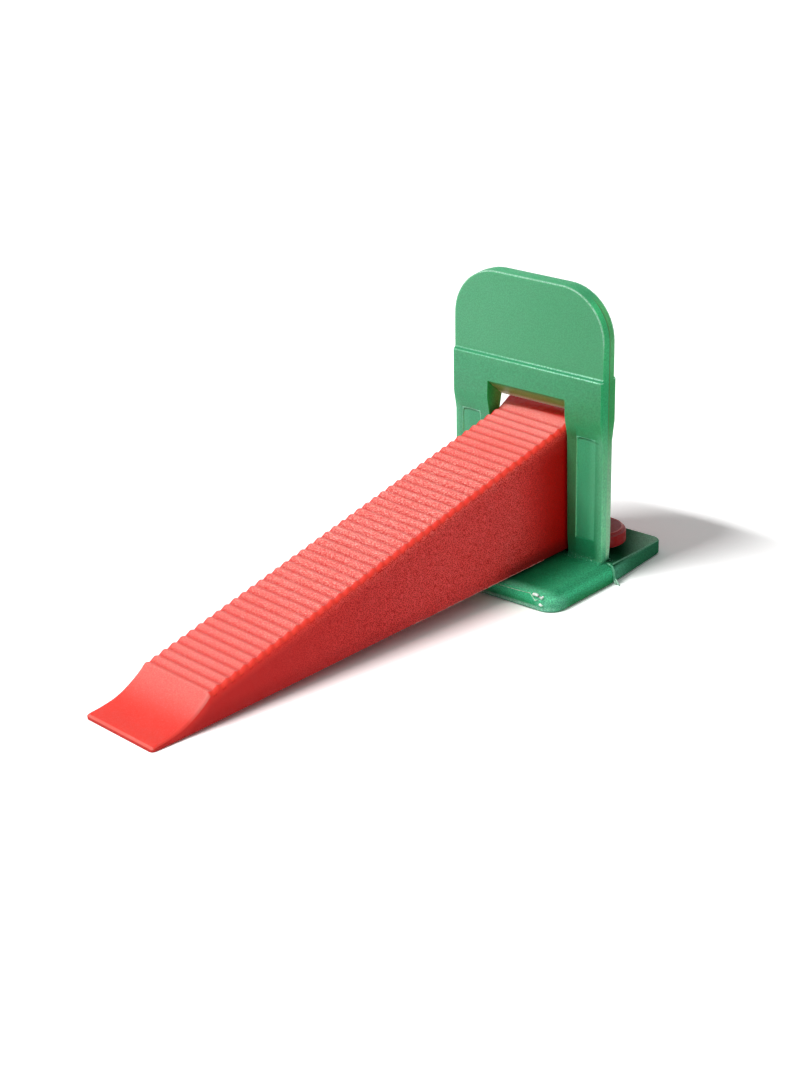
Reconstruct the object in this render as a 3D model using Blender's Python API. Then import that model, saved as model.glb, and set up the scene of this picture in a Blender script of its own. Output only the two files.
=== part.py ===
# Tile levelling clip: a snap-off plastic clip with its toothed wedge driven home.
# Two moulded pieces, in metres, +Z up. X runs across the clip, and the wedge's
# nose points to -Y. The origin is on the floor, under the middle of the upright.

import bpy
import bmesh
from math import asin, atan, atan2, cos, pi, radians, sin, tan

from mathutils import Vector

MM = 0.001

# Clip: upright
CLIP_WIDTH = 30.0
CLIP_HEIGHT = 49.5
HEAD_THICKNESS = 3.0
HEAD_RADIUS = 8.5
BAND_THICKNESS = 4.0
LEDGE_Z = 34.8            # top of the thick band on its face
LEDGE_CHAMFER = 0.45
BAND_FOOT_Z = 27.7        # the band starts to thin here
BAND_RAMP = 3.4
LEG_THICKNESS = 2.6
LEG_FOOT_THICKNESS = 2.0  # weakest section, where the legs snap off
SNAP_RAMP = 3.0
ROOT_FILLET = 0.5
SIDE_DRAFT = 0.15         # how far the sides lean in from the parting plane
EDGE_ROUND = 0.25

# Clip: window
WINDOW_TOP_Z = 30.7       # on the front face
LINTEL_EDGE_Z = 27.4      # sharp working edge, on the back face
WINDOW_TOP_WIDTH = 15.6
WINDOW_FOOT_WIDTH = 16.5

# Clip: shallow panels in the legs
PANEL_WIDTH = 3.6
PANEL_OUTWARD = 0.2       # its middle lies this far outside the leg's
PANEL_BOTTOM_Z = 7.25
PANEL_TOP_Z = 24.8
PANEL_DEPTH = 0.15
PANEL_CORNER = 0.8

# Clip: base plate
BASE_DEPTH = 32.0
BASE_WIDTH = 33.0         # at the parting plane
BASE_FRONT_TAPER = 0.25   # how much narrower each side is at the front
BASE_BACK_TAPER = 0.9
BASE_THICKNESS = 3.6      # at the parting plane
BASE_FRONT_THICKNESS = 3.1
BASE_BACK_THICKNESS = 2.6
BASE_FRONT_CORNER = 3.0
BASE_BACK_CORNER = 1.8
BASE_SIDE_ROUND = 2.2     # the front half is softly rolled over at its sides
BASE_EDGE_ROUND = 0.35

# Wedge, in its own frame: v across, u along the bottom from the nose, n up from it
WEDGE_WIDTH = 15.5
WEDGE_DRAFT = radians(0.6)
LIP_FRONT_HEIGHT = 0.7
LIP_LEAN = 0.35
LIP_HEIGHT = 0.85
LIP_LENGTH = 1.0
NOSE_START = radians(2.0)  # slope of the hollow nose where it leaves the lip
FIRST_CREST_U = 11.4
FIRST_CREST_N = 4.95
INCLINE = radians(12.2)
TEETH = 44
PITCH = 1.8
TOOTH_DEPTH = 0.35
TOOTH_FALL = 0.38         # share of the pitch taken by the short face behind a crest
CREST_ROUND = 0.2
GROOVE_ROUND = 0.15
TOP_ROUND = 0.95          # rounded side edges of the top
NOSE_CORNER = 0.7

# Wedge: low heel stop that bears on the backs of the legs
STOP_U = 94.2
STOP_RADIUS = 4.0
STOP_HEIGHT = 2.4
STOP_SPAN = 27.3
STOP_ROUND = 0.2
STOP_RIM = 0.45           # the raised top of the stop is this much smaller all round
STOP_RIM_HEIGHT = 0.5

# Wedge: coring from below
WALL = 1.8
ROOF = 2.0
RIB = 1.4
CORE_START_U = 17.0
CORE_BAYS = 5
CORE_DRAFT = radians(0.75)

# Fit of the wedge in the clip
SEAT_GAP = 0.8            # above the plate's ridge
SIDE_GAP = 0.1            # to the right leg, beside the lintel
STOP_GAP = 0.3            # behind the right leg
LINTEL_GAP = 0.15         # under the lintel's working edge
WEDGE_YAW = radians(-6.1)  # it was driven in a little askew

GREEN = (0.075, 0.42, 0.19)
RED = (0.78, 0.035, 0.03)


# Scene and helpers
def clear_scene():
    for thing in list(bpy.data.objects):
        bpy.data.objects.remove(thing, do_unlink=True)


def plastic(name, colour, roughness):
    material = bpy.data.materials.new(name)
    material.use_nodes = True
    shader = material.node_tree.nodes["Principled BSDF"]
    shader.inputs["Base Color"].default_value = (*colour, 1.0)
    shader.inputs["Roughness"].default_value = roughness
    material.diffuse_color = (*colour, 1.0)
    return material


def add_object(name, bm, material=None):
    bmesh.ops.recalc_face_normals(bm, faces=bm.faces)
    mesh = bpy.data.meshes.new(name)
    bm.to_mesh(mesh)
    bm.free()
    thing = bpy.data.objects.new(name, mesh)
    bpy.context.scene.collection.objects.link(thing)
    if material:
        mesh.materials.append(material)
    return thing


def loft(loops):
    """Closed solid through rings of equal length, each a list of points in mm."""
    bm = bmesh.new()
    rings = [[bm.verts.new(Vector(p) * MM) for p in loop] for loop in loops]
    count = len(rings[0])
    for low, high in zip(rings, rings[1:]):
        for i in range(count):
            j = (i + 1) % count
            bm.faces.new((low[i], low[j], high[j], high[i]))
    bm.faces.new(rings[0])
    bm.faces.new(rings[-1])
    return bm


def cutter(name, bm):
    thing = add_object(name, bm)
    thing.hide_render = True
    thing.display_type = "WIRE"
    return thing


def combine(body, other, operation):
    step = body.modifiers.new(other.name, "BOOLEAN")
    step.operation = operation
    step.object = other
    step.solver = "EXACT"


def arc(cx, cy, radius, start, end, steps):
    """Points of an arc, both ends included."""
    return [(cx + radius * cos(start + (end - start) * i / steps),
             cy + radius * sin(start + (end - start) * i / steps))
            for i in range(steps + 1)]


# Clip
def upright_outline(inset):
    """Front view of the upright down to the floor of the plate, moved in by inset."""
    half = CLIP_WIDTH / 2 - inset
    radius = HEAD_RADIUS - inset
    top = CLIP_HEIGHT - inset
    foot = 0.6
    right = arc(half - radius, top - radius, radius, 0.0, pi / 2, 14)
    left = arc(radius - half, top - radius, radius, pi / 2, pi, 14)
    return [(-half, foot), (half, foot)] + right + left


def half_thickness_profile():
    """Right half of the side view: distance from the parting plane against height."""
    head = HEAD_THICKNESS / 2
    band = BAND_THICKNESS / 2
    leg = LEG_THICKNESS / 2
    foot = LEG_FOOT_THICKNESS / 2
    snap_z = BASE_THICKNESS + ROOT_FILLET
    points = [(foot + ROOT_FILLET, 0.0), (foot + ROOT_FILLET, BASE_THICKNESS)]
    for degrees in (30, 60, 90):
        a = radians(degrees)
        points.append((foot + ROOT_FILLET * (1 - sin(a)),
                       BASE_THICKNESS + ROOT_FILLET * (1 - cos(a))))
    points += [(leg, snap_z + SNAP_RAMP),
               (leg, BAND_FOOT_Z - BAND_RAMP),
               (band, BAND_FOOT_Z),
               (band, LEDGE_Z),
               (head, LEDGE_Z + LEDGE_CHAMFER),
               (head, CLIP_HEIGHT - EDGE_ROUND),
               (head - EDGE_ROUND, CLIP_HEIGHT + 0.5)]
    return points


def thickness_block():
    """Prism of the side view, wider than the clip, that trims the upright."""
    right = half_thickness_profile()
    left = [(-y, z) for y, z in reversed(right)]
    ring = right + left
    half = CLIP_WIDTH
    return loft([[(-half, y, z) for y, z in ring], [(half, y, z) for y, z in ring]])


def upright_block():
    """Front view drawn out both ways from the parting plane, leaning in with draft."""
    half = BAND_THICKNESS / 2 + 0.5
    lean = SIDE_DRAFT * half / (BAND_THICKNESS / 2)
    return loft([[(x, y, z) for x, z in upright_outline(inset)]
                 for y, inset in ((-half, lean), (0.0, 0.0), (half, lean))])


def window_half(z):
    """Half the width of the window at height z."""
    share = (WINDOW_TOP_Z - z) / (WINDOW_TOP_Z - BASE_THICKNESS)
    return (WINDOW_TOP_WIDTH + (WINDOW_FOOT_WIDTH - WINDOW_TOP_WIDTH) * share) / 2


def window_block():
    """Opening for the wedge: a lintel bevelled to a sharp back edge, legs that taper."""
    reach = BAND_THICKNESS
    fall = (WINDOW_TOP_Z - LINTEL_EDGE_Z) / BAND_THICKNESS

    def ring(y):
        top = WINDOW_TOP_Z - fall * (y + BAND_THICKNESS / 2)
        corners = ((-1, 0.0), (1, 0.0), (1, top), (-1, top))
        return [(side * window_half(z), y, z) for side, z in corners]

    return loft([ring(-reach), ring(reach)])


def panel_block(side, face):
    """Shallow rounded recess in one face of one leg."""
    leg_middle = (CLIP_WIDTH + window_half(PANEL_TOP_Z) * 2) / 4
    middle = side * (leg_middle + PANEL_OUTWARD)
    half = PANEL_WIDTH / 2
    r = PANEL_CORNER
    outline = [(middle - half, PANEL_BOTTOM_Z), (middle + half, PANEL_BOTTOM_Z)]
    outline += arc(middle + half - r, PANEL_TOP_Z - r, r, 0.0, pi / 2, 4)
    outline += arc(middle - half + r, PANEL_TOP_Z - r, r, pi / 2, pi, 4)
    floor = LEG_THICKNESS / 2 - PANEL_DEPTH
    outside = BAND_THICKNESS
    return loft([[(x, face * y, z) for x, z in outline] for y in (floor, outside)])


def base_top(y):
    """Height of the plate's top at depth y: a low ridge at the parting plane."""
    edge = BASE_FRONT_THICKNESS if y < 0 else BASE_BACK_THICKNESS
    share = abs(y) / (BASE_DEPTH / 2)
    return BASE_THICKNESS + (edge - BASE_THICKNESS) * share


def base_plan_half(front):
    """Half of the plate from above: place, outward direction and edge rounding."""
    sign = -1 if front else 1
    corner = BASE_FRONT_CORNER if front else BASE_BACK_CORNER
    taper = BASE_FRONT_TAPER if front else BASE_BACK_TAPER
    side_round = BASE_SIDE_ROUND if front else BASE_EDGE_ROUND
    half = BASE_WIDTH / 2
    straight = BASE_DEPTH / 2 - corner
    right = []
    for share in (0.001, 0.33, 0.66):
        right.append((half - taper * share, sign * straight * share, 1.0, 0.0, side_round))
    for i in range(9):
        a = pi / 2 * i / 8
        x = half - taper - corner * (1 - cos(a))
        y = sign * (straight + corner * sin(a))
        edge_round = side_round + (BASE_EDGE_ROUND - side_round) * i / 8
        right.append((x, y, cos(a), sign * sin(a), edge_round))
    left = [(-x, y, -nx, ny, r) for x, y, nx, ny, r in reversed(right)]
    return right + left


def base_block():
    """Plate with a ridge at the parting plane, rolled sides in front and crisp ones behind."""
    front = base_plan_half(True)
    back = list(reversed(base_plan_half(False)))
    plan = front + back

    def ring(place):
        loop = []
        for x, y, nx, ny, r in plan:
            inset, drop = place(r)
            loop.append((x - nx * inset, y - ny * inset, base_top(y - ny * inset) - drop))
        return loop

    edge = BASE_EDGE_ROUND
    floor = [(x - nx * edge, y - ny * edge, 0.0) for x, y, nx, ny, r in plan]
    wall = [(x, y, edge) for x, y, nx, ny, r in plan]
    rolls = []
    for i in range(6):
        a = pi / 2 * i / 5
        rolls.append(ring(lambda r, a=a: (r * (1 - cos(a)), r * (1 - sin(a)))))
    bm = bmesh.new()
    rings = [[bm.verts.new(Vector(p) * MM) for p in loop] for loop in [floor, wall] + rolls]
    count = len(plan)
    for low, high in zip(rings, rings[1:]):
        for i in range(count):
            j = (i + 1) % count
            bm.faces.new((low[i], low[j], high[j], high[i]))
    bm.faces.new(rings[0])
    top = rings[-1]
    middle = len(front)
    bm.faces.new(top[:middle])
    bm.faces.new(top[middle:])
    bm.faces.new((top[middle - 1], top[middle], top[-1], top[0]))
    return bm


def build_clip(material):
    clip = add_object("clip", upright_block(), material)
    combine(clip, cutter("side_view", thickness_block()), "INTERSECT")
    combine(clip, cutter("window", window_block()), "DIFFERENCE")
    for side in (-1, 1):
        for face in (-1, 1):
            combine(clip, cutter("leg_panel", panel_block(side, face)), "DIFFERENCE")
    combine(clip, cutter("base_plate", base_block()), "UNION")
    return clip


# Wedge
def wedge_rest():
    """Where the nose tip lies and how far the wedge tilts, from what it seats on."""
    seat_u = STOP_U - STOP_RADIUS - LEG_THICKNESS / 2 - STOP_GAP
    tilt = asin((BASE_THICKNESS + SEAT_GAP) / seat_u)
    ear_v = STOP_SPAN / 2 - STOP_RADIUS
    run = STOP_U * cos(tilt) * cos(WEDGE_YAW) + ear_v * sin(WEDGE_YAW)
    y = LEG_THICKNESS / 2 + STOP_GAP + STOP_RADIUS - run
    side_height = LINTEL_EDGE_Z - LINTEL_GAP - TOP_ROUND
    side_half = WEDGE_WIDTH / 2 - (side_height - BASE_THICKNESS) * tan(WEDGE_DRAFT)
    reach = BAND_THICKNESS / 2 - y
    side_x = side_half / cos(WEDGE_YAW) - reach * tan(WEDGE_YAW)
    x = window_half(side_height) - SIDE_GAP - side_x
    return Vector((x, y, 0.0)), tilt


def plateau_height(place, tilt):
    """Height of the wedge's flat heel, a gap below the lintel's working edge."""
    run = (BAND_THICKNESS / 2 - place.y) / cos(WEDGE_YAW)
    run += WINDOW_TOP_WIDTH / 2 * sin(-WEDGE_YAW)
    return LINTEL_EDGE_Z * cos(tilt) - run * sin(tilt) - LINTEL_GAP


def top_profile(plateau):
    """Side view of the top from the lip to the heel: nose, teeth, last ramp, plateau."""
    points = [(LIP_LEAN, LIP_FRONT_HEIGHT)]
    run = FIRST_CREST_U - LIP_LENGTH
    climb = FIRST_CREST_N - LIP_HEIGHT
    end = 2 * atan2(climb, run) - NOSE_START
    radius = run / (sin(end) - sin(NOSE_START))
    centre_u = LIP_LENGTH - radius * sin(NOSE_START)
    centre_n = LIP_HEIGHT + radius * cos(NOSE_START)
    points += arc(centre_u, centre_n, radius, NOSE_START - pi / 2, end - pi / 2, 12)[:-1]
    rise = TOOTH_DEPTH / (PITCH * (1 - TOOTH_FALL))
    fall = TOOTH_DEPTH / (PITCH * TOOTH_FALL)
    groove = PITCH * TOOTH_FALL

    def on_incline(s, t):
        u = FIRST_CREST_U + s * cos(INCLINE) - t * sin(INCLINE)
        return (u, FIRST_CREST_N + s * sin(INCLINE) + t * cos(INCLINE))

    for tooth in range(TEETH):
        crest = tooth * PITCH
        for s, t in ((-CREST_ROUND, -CREST_ROUND * rise),
                     (0.0, 0.0),
                     (CREST_ROUND, -CREST_ROUND * fall * 0.75),
                     (groove - GROOVE_ROUND, GROOVE_ROUND * fall * 0.6 - TOOTH_DEPTH),
                     (groove, -TOOTH_DEPTH),
                     (groove + GROOVE_ROUND, GROOVE_ROUND * rise * 0.6 - TOOTH_DEPTH)):
            points.append(on_incline(crest + s, t))
    groove_u, groove_n = points[-1]
    climb = INCLINE + atan(rise)
    points.append((groove_u + (plateau - groove_n) / tan(climb), plateau))
    points.append((STOP_U + STOP_RADIUS - EDGE_ROUND, plateau))
    points.append((STOP_U + STOP_RADIUS, plateau - EDGE_ROUND))
    return points


def wedge_block(plateau):
    """The toothed body: the side view drawn across, with draft and rounded top edges."""
    top = top_profile(plateau)
    heel = STOP_U + STOP_RADIUS
    outline = [(0.0, 0.0)] + top + [(heel, 0.0)]

    def ring(side, turn):
        loop = []
        for u, n in outline:
            radius = min(TOP_ROUND, 0.6 * n)
            half = WEDGE_WIDTH / 2 - n * tan(WEDGE_DRAFT) - max(radius, 0.05) * (1 - cos(turn))
            loop.append((side * half, u, n - radius * (1 - sin(turn))))
        return loop

    turns = [pi / 8 * i for i in range(5)]
    left = [ring(-1, turn) for turn in turns]
    right = [ring(1, turn) for turn in reversed(turns)]
    return loft(left + right)


def nose_corner(side):
    """Cutter that rounds one front corner of the lip, seen from above."""
    r = NOSE_CORNER
    half = WEDGE_WIDTH / 2
    outline = [(half - r, -1.0), (half + 1.0, -1.0), (half + 1.0, r)]
    outline += arc(half - r, r, r, 0.0, -pi / 2, 5)
    return loft([[(side * v, u, n) for v, u in outline] for n in (-1.0, 3.0)])


def stop_block():
    """Round-ended bar under the heel, reaching out on both sides of the wedge."""
    reach = STOP_SPAN / 2 - STOP_RADIUS

    def ring(inset, n):
        right = arc(reach, STOP_U, STOP_RADIUS - inset, -pi / 2, pi / 2, 14)
        left = arc(-reach, STOP_U, STOP_RADIUS - inset, pi / 2, 3 * pi / 2, 14)
        return [(v, u, n) for v, u in right + left]

    levels = [(0.0, 0.0)]
    for inset, top in ((0.0, STOP_HEIGHT - STOP_RIM_HEIGHT), (STOP_RIM, STOP_HEIGHT)):
        for a in (0.0, pi / 4, pi / 2):
            levels.append((inset + STOP_ROUND * (1 - cos(a)), top - STOP_ROUND * (1 - sin(a))))
    return loft([ring(inset, n) for inset, n in levels])


def core_blocks():
    """Pockets from below between a middle rib, cross ribs and the outer walls."""
    end_u = STOP_U + STOP_RADIUS - WALL
    bay = (end_u - CORE_START_U + RIB) / CORE_BAYS
    for index in range(CORE_BAYS):
        start = CORE_START_U + index * bay
        stop = start + bay - RIB
        for side in (-1, 1):
            def ring(depth_share):
                loop = []
                for u, v in ((start, RIB / 2), (stop, RIB / 2),
                             (stop, WEDGE_WIDTH / 2 - WALL), (start, WEDGE_WIDTH / 2 - WALL)):
                    ceiling = FIRST_CREST_N + (u - FIRST_CREST_U) * tan(INCLINE)
                    n = -0.5 + (ceiling - TOOTH_DEPTH - ROOF + 0.5) * depth_share
                    lean = max(n, 0.0) * tan(CORE_DRAFT)
                    u += lean if u == start else -lean
                    v += lean if v == RIB / 2 else -lean
                    loop.append((side * v, u, n))
                return loop
            yield cutter("wedge_core", loft([ring(0.0), ring(1.0)]))


def build_wedge(material):
    place, tilt = wedge_rest()
    wedge = add_object("wedge", wedge_block(plateau_height(place, tilt)), material)
    for side in (-1, 1):
        combine(wedge, cutter("lip_corner", nose_corner(side)), "DIFFERENCE")
    combine(wedge, cutter("heel_stop", stop_block()), "UNION")
    for core in core_blocks():
        combine(wedge, core, "DIFFERENCE")
    driven = bpy.data.objects.new("wedge_slide_axis", None)
    bpy.context.scene.collection.objects.link(driven)
    driven.location = place * MM
    driven.rotation_euler = (tilt, 0.0, WEDGE_YAW)
    wedge.parent = driven
    for step in wedge.modifiers:
        step.object.parent = driven
    return wedge


clear_scene()
green = plastic("clip_plastic", GREEN, 0.35)
red = plastic("wedge_plastic", RED, 0.6)
build_clip(green)
build_wedge(red)
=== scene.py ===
# Looks for the tile levelling clip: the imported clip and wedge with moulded-plastic
# materials, softened edges, thin moulding flash, a pale floor and a soft studio light.

from math import cos, pi, radians, sin, tan
from types import SimpleNamespace

import bmesh
import bpy
from mathutils import Matrix, Vector


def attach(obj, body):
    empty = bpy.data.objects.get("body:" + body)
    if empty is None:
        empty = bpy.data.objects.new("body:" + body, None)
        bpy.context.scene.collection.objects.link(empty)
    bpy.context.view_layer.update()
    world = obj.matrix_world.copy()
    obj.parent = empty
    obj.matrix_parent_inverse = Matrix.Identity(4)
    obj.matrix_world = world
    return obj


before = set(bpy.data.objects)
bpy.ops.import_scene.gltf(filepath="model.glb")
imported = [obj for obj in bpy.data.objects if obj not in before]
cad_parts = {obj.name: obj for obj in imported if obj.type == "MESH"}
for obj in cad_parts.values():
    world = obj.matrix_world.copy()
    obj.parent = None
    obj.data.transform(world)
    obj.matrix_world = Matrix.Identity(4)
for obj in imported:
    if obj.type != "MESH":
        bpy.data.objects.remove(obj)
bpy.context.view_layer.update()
MM = 0.001

# Camera, in degrees and millimetres; the focal length and image height are the photo's, in pixels
AZIMUTH = 40.083
CAMERA_PITCH = 22.908
ROLL = -1.018
DISTANCE = 386.13
LOOK_RIGHT = -22.122
LOOK_UP = 5.388
FOCAL_PIXELS = 2311.6
IMAGE_HEIGHT = 1065
SENSOR = 36.0
NEAR_LIMIT = 10.0
FAR_LIMIT = 10000.0

# Stage and light, in metres
WHITE = (1.0, 1.0, 1.0, 1.0)
FLOOR_SIZE = 2.4
FLOOR_GREY = 0.82  # for the light that it throws back
FLOOR_SHOWN = 1.35  # how white the camera sees it
FLOOR_ROUGHNESS = 0.9
FLOOR_SPECULAR = 0.1
SKY_TOP = 0.42  # overhead
SKY_LOW = 0.14  # at the horizon
KEY_FROM = (-0.24, -0.53, 0.815)
KEY_DISTANCE = 6.0
KEY_SIZE = (2.1, 0.4)  # wide and low: long soft shadow ends, crisper upper edges
KEY_LEVEL = 0.88  # on a white face turned to the lamp

# Edge softening, in millimetres and radians
CLIP_EDGE = 0.16
WEDGE_EDGE = 0.06
EDGE_SEGMENTS = 2
ROUNDED_FROM = radians(32.0)
SHARP_FROM = radians(50.0)
WELD_WITHIN = 0.001

# Noises: width of the lumps in millimetres, detail and roughness
CLIP_GRAIN = (0.19, 1.0, 0.7)
CLIP_CLOUDS = 6.0
CLIP_SMEAR = (2.5, 4.0)
CLIP_WAVES = (3.0, 1.0)
CLIP_DOTS = (0.3, 1.0, 0.8)
CLIP_SPECKLE = (0.28, 2.0, 0.7)
WEDGE_GRAIN = (0.20, 1.0, 0.7)
WEDGE_CLOUDS = 7.0
WEDGE_COARSE = (0.5, 1.0)
WEDGE_GLINTS = (0.2, 1.0, 0.8)
WALL_GRAIN = (0.16, 0.0)
SKIN_WAVES = (0.3, 2.0)
CLOUD_DETAIL = 3.0

# Noise levels between which the grain and the clouds change from one colour to the other
FLECK_SPAN = (0.36, 0.64)
CLOUD_SPAN = (0.3, 0.7)

# Wedge as it lies in the clip: its turn, its tilt and the place of its nose's tip
WEDGE_YAW = radians(-6.1)
WEDGE_TILT = radians(2.8466)
WEDGE_TIP = (-9.2854, -86.9256, 0.0)

# Places on the wedge, in millimetres from that tip, along it and up or aside; a place of two
# numbers named for where a look starts or ends is the stretch over which it changes
FIRST_CREST = (11.4, 4.95)  # along, up
INCLINE = radians(12.2)
PITCH = 1.8
NOSE_CENTRE = (0.415, 17.59)  # along, up
NOSE_RADIUS = 16.75
STOP_CENTRE = (9.65, 94.2)  # aside, along
STOP_RIM_RADIUS = 3.42
STOP_INSIDE = (7.95, 8.1)
LIP_END = (0.55, 0.35)
SMOOTH_NOSE = (4.5, 11.6)
GROOVE_PHASE = 0.40  # as a share of the pitch, from a crest
CREST_PHASE = 0.95
TEETH_START = (-0.2, 0.2)  # along, from the first crest
TEETH_END = (89.5, 89.0)
UNDER_LINTEL_FROM = (79.0, 86.5)
HEEL_FROM = (89.2, 89.8)

# Clip, in millimetres: side is the distance from its middle plane, depth from its parting plane.
# Two numbers are where a look starts and is full, three the middle, half width and fade of a band
PLATE_TO_UPRIGHT = (3.5, 4.1)
LEGS_END = (27.0, 24.5)
WINDOW_SIDE = (9.0, 8.6)
PANEL_SIDE = 11.65
PANEL_HEIGHT = 16.03
PANEL_HALF_WIDTH = 1.68
PANEL_HALF_HEIGHT = 8.66
PANEL_SLOPE = 0.14
PANEL_TOP_EDGE = 24.85
PANEL_INNER_EDGE = 9.82
PANEL_OUTER_EDGE = 13.48
PANEL_EDGE_FADE = 0.05
PANEL_FADE = 0.1
PANEL_BORDER_FROM = (7.6, 8.4)
OUTER_HALF = (11.8, 13.2)
LEG_EDGE = (13.2, 14.9)
BESIDE_WEDGE = ((9.95, 9.75), (7.0, 7.6))  # along X, on the right leg
FLANK_FROM = (3.8, 5.0)
PARTING = (0.05, 0.05, 0.12)
PARTING_FROM = (22.0, 30.0)
LINTEL = (29.0, 2.2, 0.3)
LEDGE = (35.02, 0.12, 0.06)
LEDGE_HIGHLIGHT_LINES = ((34.8, 0.06, 0.07), (35.26, 0.07, 0.08))
HEAD_CORNER = (6.5, 41.0)
HEAD_OUTLINE = 8.32


# Camera
def make_camera():
    azimuth = radians(AZIMUTH)
    pitch = radians(CAMERA_PITCH)
    roll = radians(ROLL)
    forward = Vector((-sin(azimuth) * cos(pitch), cos(azimuth) * cos(pitch), -sin(pitch)))
    right = Vector((cos(azimuth), sin(azimuth), 0.0))
    up = right.cross(forward)
    rolled_right = right * cos(roll) + up * sin(roll)
    rolled_up = up * cos(roll) - right * sin(roll)
    target = right * LOOK_RIGHT + Vector((0.0, 0.0, LOOK_UP))
    data = bpy.data.cameras.new("camera")
    data.sensor_fit = "AUTO"
    data.sensor_width = SENSOR
    data.lens = FOCAL_PIXELS / IMAGE_HEIGHT * SENSOR
    data.clip_start = NEAR_LIMIT * MM
    data.clip_end = FAR_LIMIT * MM
    camera = bpy.data.objects.new("camera", data)
    bpy.context.scene.collection.objects.link(camera)
    axes = Matrix((rolled_right, rolled_up, -forward)).transposed().to_4x4()
    axes.translation = (target - forward * DISTANCE) * MM
    camera.matrix_world = axes
    bpy.context.scene.camera = camera


# Node helpers
class Look:
    """A material's node tree, with short names for the nodes used here."""

    def __init__(self, name):
        self.material = bpy.data.materials.new(name)
        self.material.use_nodes = True
        self.tree = self.material.node_tree
        self.shader = self.tree.nodes["Principled BSDF"]

    def join(self, source, socket):
        """Sets a socket to a constant or links it to another socket."""
        if isinstance(source, (int, float)):
            socket.default_value = source
        elif isinstance(source, tuple):
            socket.default_value = (*source, 1.0) if len(socket.default_value) == 4 else source
        else:
            self.tree.links.new(source, socket)

    def set(self, name, value):
        self.join(value, self.shader.inputs[name])

    def set_all(self, values):
        for name, value in values.items():
            self.set(name, value)

    def new(self, kind):
        return self.tree.nodes.new("ShaderNode" + kind)

    def math(self, operation, a, b=0.0):
        node = self.new("Math")
        node.operation = operation
        for value, socket in zip((a, b), node.inputs):
            self.join(value, socket)
        return node.outputs[0]

    def plus(self, a, b):
        return self.math("ADD", a, b)

    def minus(self, a, b):
        return self.math("SUBTRACT", a, b)

    def larger(self, a, b):
        return self.math("MAXIMUM", a, b)

    def absolute(self, a):
        return self.math("ABSOLUTE", a)

    def times(self, product, *others):
        for other in others:
            product = self.math("MULTIPLY", product, other)
        return product

    def length(self, a, b):
        return self.math("SQRT", self.plus(self.times(a, a), self.times(b, b)))

    def turn(self, a, b, angle):
        """The pair a, b in axes that are turned by an angle."""
        first = self.plus(self.times(a, cos(angle)), self.times(b, sin(angle)))
        second = self.minus(self.times(b, cos(angle)), self.times(a, sin(angle)))
        return first, second

    def step(self, value, start, end, low=0.0, high=1.0):
        """Smooth change from low to high as the value goes from start to end."""
        node = self.new("MapRange")
        node.interpolation_type = "SMOOTHSTEP"
        self.join(value, node.inputs["Value"])
        node.inputs["From Min"].default_value = start
        node.inputs["From Max"].default_value = end
        node.inputs["To Min"].default_value = low
        node.inputs["To Max"].default_value = high
        return node.outputs[0]

    def band(self, value, middle, half, soft):
        """1 within half of the middle, falling to 0 over soft."""
        return self.step(self.absolute(self.minus(value, middle)), half, half + soft, 1.0, 0.0)

    def mix(self, share, a, b, blend="MIX"):
        node = self.new("Mix")
        node.data_type = "RGBA"
        node.blend_type = blend
        self.join(share, node.inputs["Factor"])
        for value, socket in ((a, node.inputs[6]), (b, node.inputs[7])):
            self.join(value, socket)
        return node.outputs[2]

    def blend(self, value, colour, stops):
        """Colour that changes with a value, at stops of (start, end, next colour)."""
        for start, end, shade in stops:
            colour = self.mix(self.step(value, start, end), colour, shade)
        return colour

    def lay(self, mask, colour, coat):
        """A coat of (share, shade) laid over a colour where the mask is 1."""
        share, shade = coat
        return self.mix(self.times(mask, share), colour, shade)

    def noise(self, place, size, detail=2.0, rough=0.5):
        """Noise whose lumps are about size millimetres."""
        node = self.new("TexNoise")
        self.join(place, node.inputs["Vector"])
        node.inputs["Scale"].default_value = 1.0 / (size * MM)
        node.inputs["Detail"].default_value = detail
        node.inputs["Roughness"].default_value = rough
        return node.outputs["Fac"]

    def flecks(self, noise, low, high):
        """Colour that goes from low to high with a fine noise."""
        return self.mix(self.step(noise, *FLECK_SPAN), low, high)

    def clouded(self, place, size, colour, coat):
        """Colour under faint clouds of another coat, about size millimetres wide."""
        cloud = self.step(self.noise(place, size, CLOUD_DETAIL), *CLOUD_SPAN)
        return self.lay(cloud, colour, coat)

    def place(self):
        """Object coordinates: the vector in metres, and x, y, z in millimetres."""
        vector = self.new("TexCoord").outputs["Object"]
        split = self.new("SeparateXYZ")
        self.join(vector, split.inputs[0])
        return vector, [self.times(out, 1.0 / MM) for out in split.outputs]

    def normal(self):
        split = self.new("SeparateXYZ")
        self.join(self.new("TexCoord").outputs["Normal"], split.inputs[0])
        return list(split.outputs)

    def bump(self, *heights):
        """Chain of bumps, each a (height, depth in millimetres, strength)."""
        last = None
        for height, depth, strength in heights:
            node = self.new("Bump")
            node.inputs["Strength"].default_value = strength
            node.inputs["Distance"].default_value = depth * MM
            self.join(height, node.inputs["Height"])
            if last:
                self.join(last, node.inputs["Normal"])
            last = node.outputs[0]
        self.set("Normal", last)


# How far light enters the plastics, and how glossy they are
CLIP_PLASTIC = {
    "Coat Roughness": 0.12,
    "Subsurface Weight": 0.45,
    "Subsurface Radius": (0.35, 1.0, 0.6),
    "Subsurface Scale": 1.5 * MM}
CLIP_ROUGHNESS = 0.32
CLIP_SMEAR_ROUGHNESS = 0.14
CLIP_FACE_GLOSS = 0.25
CLIP_OUTLINE_GLOSS = 0.5
CLIP_SHEEN = 0.03
WEDGE_PLASTIC = {
    "Subsurface Weight": 0.7,
    "Subsurface Radius": (1.0, 0.22, 0.15),
    "Subsurface Scale": 1.6 * MM}
WEDGE_ROUGHNESS = (0.46, 0.62)
WEDGE_SPECULAR = (0.25, 0.12)
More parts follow.
